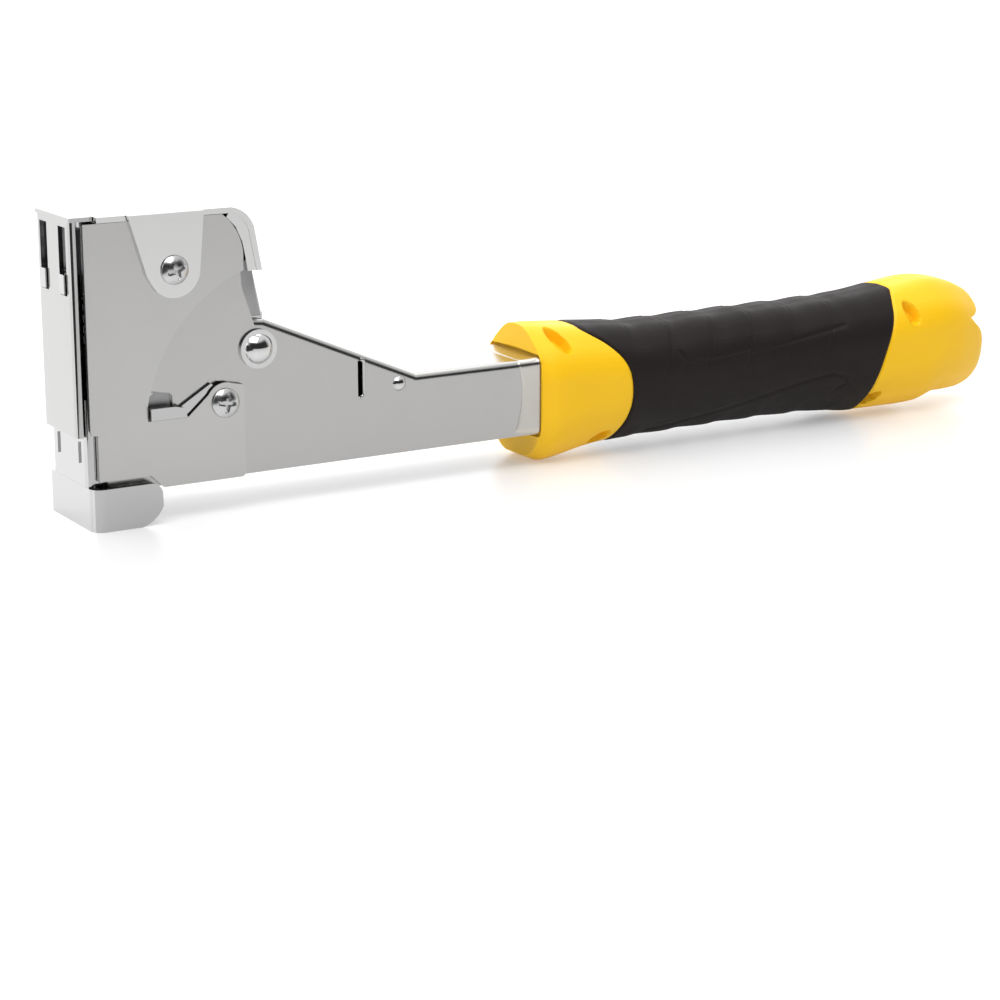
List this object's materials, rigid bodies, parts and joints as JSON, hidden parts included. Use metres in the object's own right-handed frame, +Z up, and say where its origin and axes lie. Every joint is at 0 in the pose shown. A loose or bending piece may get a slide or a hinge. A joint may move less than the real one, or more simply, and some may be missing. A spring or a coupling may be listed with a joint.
{
  "type": "staple gun",
  "caption": "Hammer tacker: swung staple gun with a plated steel head and channel, sliding nose, hinged staple magazine, and a moulded handle with a rubber grip.",
  "frame": {"origin": "On the ground, at the middle of the tool's length and width: the tool lies as pictured, on its nose and the underside of its handle's collar.", "axes": "+X from the head to the end of the handle, +Y across the tool to its right side, +Z up. The nose slides along Z. The tool is symmetric about Y = 0."},
  "size_m": [0.307, 0.0336, 0.0804],
  "materials": {
    "plated_steel": "bright plated pressed steel with a fine rolled grain",
    "plated_nose": "polished plated steel",
    "screw_steel": "zinc plated cross-recess screws",
    "rivet_steel": "turned and plated steel",
    "inner_steel": "plain rolled steel, lightly oiled",
    "blade_steel": "hardened spring steel",
    "spring_steel": "spring wire",
    "block_metal": "sintered block",
    "yellow_plastic": "moulded yellow nylon with a fine grain",
    "black_rubber": "soft overmoulded rubber",
    "core_plastic": "glass-filled nylon",
    "pusher_plastic": "pressed steel"
  },
  "bodies": {
    "frame": {"body_channel": "plated_steel", "channel_ferrule": "plated_steel", "head_plate_left": "plated_steel", "head_plate_right": "plated_steel", "front_channel": "plated_nose", "top_cap": "plated_nose", "rear_plate": "plated_nose", "cap_screws": "screw_steel", "latch_screws": "screw_steel", "head_rivet": "rivet_steel", "rivet_washers": "rivet_steel", "side_rivets": "rivet_steel", "magazine_pivot_pin": "rivet_steel", "driver_block": "block_metal", "spring_post": "inner_steel", "blade_rivets": "inner_steel", "driver_blade": "blade_steel", "return_spring": "spring_steel", "latch_springs": "spring_steel", "handle_shell_left": "yellow_plastic", "handle_shell_right": "yellow_plastic", "grip_sleeve": "black_rubber", "handle_core": "core_plastic", "tang_pins": "inner_steel"},
    "nose": {"nose_shoe": "plated_nose", "nose_guide": "inner_steel", "link_pins": "inner_steel"},
    "magazine": {"magazine_channel": "inner_steel", "staple_rail": "inner_steel", "rail_rivets": "inner_steel", "guide_rod": "inner_steel", "pusher_spring": "spring_steel"},
    "pusher": {"staple_pusher": "pusher_plastic"},
    "catch_left": {"latch_left": "plated_steel"},
    "catch_right": {"latch_right": "plated_steel"}
  },
  "joints": [
    {"name": "nose_slide", "type": "slide", "parent": "frame", "child": "nose", "axis": [0, 0, 1], "range_m": [0, 0.011], "stiffness_N_per_m": 900, "springref_m": -0.02, "deforming": ["return_spring"]},
    {"name": "magazine_swing", "type": "hinge", "parent": "frame", "child": "magazine", "pos_m": [-0.0091, 0, 0.014], "axis": [0, 1, 0], "range_deg": [0, 5.2]},
    {"name": "pusher_slide", "type": "slide", "parent": "magazine", "child": "pusher", "axis": [1, 0, 0], "range_m": [0, 0.08], "stiffness_N_per_m": 40, "springref_m": -0.03, "deforming": ["pusher_spring"]},
    {"name": "catch_left_turn", "type": "hinge", "parent": "frame", "child": "catch_left", "pos_m": [-0.1126, 0, 0.0296], "axis": [0, 1, 0], "range_deg": [0, 8], "stiffness_Nm_per_rad": 0.02, "springref_deg": -17.19},
    {"name": "catch_right_turn", "type": "hinge", "parent": "frame", "child": "catch_right", "pos_m": [-0.1126, 0, 0.0296], "axis": [0, 1, 0], "range_deg": [0, 8], "stiffness_Nm_per_rad": 0.02, "springref_deg": -17.19}
  ],
  "couplings": [
    {"joint": "magazine_swing", "follows": "nose_slide", "rad_per_m": 7.9365}
  ]
}
